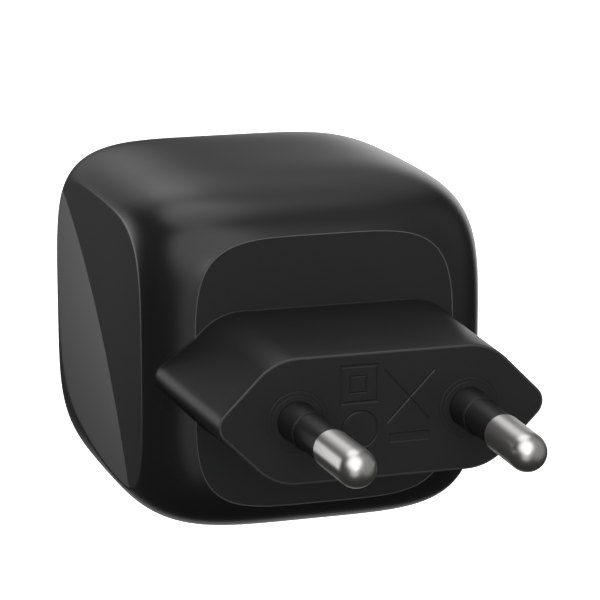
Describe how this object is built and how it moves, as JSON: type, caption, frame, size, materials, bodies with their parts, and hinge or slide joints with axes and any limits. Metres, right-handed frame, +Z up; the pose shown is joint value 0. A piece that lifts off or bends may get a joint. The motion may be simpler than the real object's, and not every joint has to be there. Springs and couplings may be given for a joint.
{
  "type": "usb wall charger",
  "caption": "Compact rounded-cube USB-C wall charger with a fixed two-pin round-pin mains plug on one end.",
  "frame": {"origin": "centre of the plug's engagement face, midway between the two pins", "axes": "-Y out of the engagement face along the pins, +Y towards the USB-C port, +Z up, +X to the right as seen from the pins' side"},
  "size_m": [0.0422, 0.0894, 0.0398],
  "materials": {
    "housing_plastic": "satin",
    "panel_plastic": "matte",
    "plug_plastic": "satin",
    "sleeve_plastic": "satin",
    "pin_nickel": "polished",
    "contact_brass": "satin",
    "contact_gold": "polished",
    "receptacle_steel": "satin",
    "spreader_aluminium": "satin",
    "capacitor_can": "satin",
    "capacitor_sleeve": "satin",
    "wire_insulation": "satin",
    "board_laminate": "satin",
    "chip_package": "matte",
    "film_box": "satin",
    "fuse_box": "satin",
    "green_coating": "satin",
    "blue_coating": "satin",
    "ferrite": "matte",
    "copper_wire": "satin",
    "winding_tape": "satin",
    "bobbin_plastic": "satin",
    "insulation_film": "satin",
    "thermal_pad": "matte",
    "tongue_plastic": "satin"
  },
  "bodies": {
    "root": {"housing_shell": "housing_plastic", "port_cap": "housing_plastic", "rear_cover": "panel_plastic", "plug_block": "plug_plastic", "plug_face": "plug_plastic", "pin_left": "pin_nickel", "pin_right": "pin_nickel", "pin_sleeve_left": "sleeve_plastic", "pin_sleeve_right": "sleeve_plastic", "pin_contact_left": "contact_brass", "pin_contact_right": "contact_brass", "mains_wire_left": "wire_insulation", "mains_wire_right": "wire_insulation", "choke_winding_left": "copper_wire", "choke_winding_right": "copper_wire", "choke_core": "ferrite", "usb_contacts_left": "contact_gold", "usb_contacts_right": "contact_gold", "usb_shell": "receptacle_steel", "usb_tongue": "tongue_plastic", "main_board": "board_laminate", "usb_board": "board_laminate", "fuse": "fuse_box", "thermistor": "green_coating", "x_capacitor": "film_box", "bridge_rectifier": "chip_package", "power_switch": "chip_package", "bulk_capacitor_rear": "capacitor_sleeve", "bulk_capacitor_front": "capacitor_sleeve", "transformer_core_lower": "ferrite", "transformer_core_upper": "ferrite", "transformer_bobbin": "bobbin_plastic", "transformer_winding": "copper_wire", "transformer_tape": "winding_tape", "optocoupler": "chip_package", "y_capacitor": "blue_coating", "output_capacitor_rear": "capacitor_can", "output_capacitor_front": "capacitor_can", "sync_rectifier": "chip_package", "pd_controller": "chip_package", "insulation_sheet": "insulation_film", "heat_spreader": "spreader_aluminium", "thermal_pad": "thermal_pad"}
  },
  "joints": []
}
